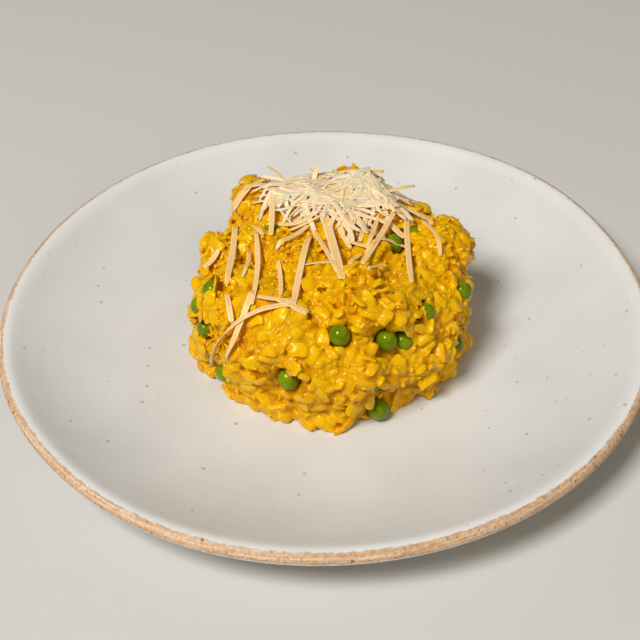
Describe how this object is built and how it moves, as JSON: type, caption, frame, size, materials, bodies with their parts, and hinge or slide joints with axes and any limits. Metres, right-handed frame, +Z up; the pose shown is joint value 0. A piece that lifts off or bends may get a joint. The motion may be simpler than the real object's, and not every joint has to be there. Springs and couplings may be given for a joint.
{
  "type": "pea risotto on a plate",
  "caption": "Round coupe plate with a low curved wall that carries a squat heap of yellow rice studded with peas and topped with long shreds of grated hard cheese.",
  "frame": {"origin": "middle of the plate's foot, at the level of the table", "axes": "+Z up; -Y towards the viewer of the picture, +X to the viewer's right"},
  "size_m": [0.2694, 0.2694, 0.0667],
  "materials": {
    "glazed_stoneware": "glossy off-white glaze with fine brown specks, bare sandy clay on the outer half of the edge and on the foot",
    "saffron_rice": "wet, creamy saffron-yellow cooked rice grains, orange-brown in the creases",
    "pea_skin": "smooth bright green cooked pea skin with a soft gloss",
    "hard_cheese": "slightly waxy and translucent pale cream shreds of hard cheese"
  },
  "bodies": {
    "root": {"plate": "glazed_stoneware", "risotto": "saffron_rice", "pea_01": "pea_skin", "pea_02": "pea_skin", "pea_03": "pea_skin", "pea_04": "pea_skin", "pea_05": "pea_skin", "pea_06": "pea_skin", "pea_07": "pea_skin", "pea_08": "pea_skin", "pea_09": "pea_skin", "pea_10": "pea_skin", "pea_11": "pea_skin", "pea_12": "pea_skin", "pea_13": "pea_skin", "pea_14": "pea_skin", "pea_15": "pea_skin", "pea_16": "pea_skin", "pea_17": "pea_skin", "pea_18": "pea_skin", "pea_19": "pea_skin", "pea_20": "pea_skin", "pea_21": "pea_skin", "pea_22": "pea_skin", "pea_23": "pea_skin", "grated_cheese": "hard_cheese", "shred_01": "hard_cheese", "shred_02": "hard_cheese", "shred_03": "hard_cheese", "shred_04": "hard_cheese", "shred_05": "hard_cheese", "shred_06": "hard_cheese", "shred_07": "hard_cheese", "shred_08": "hard_cheese", "shred_09": "hard_cheese", "shred_10": "hard_cheese"}
  },
  "joints": []
}
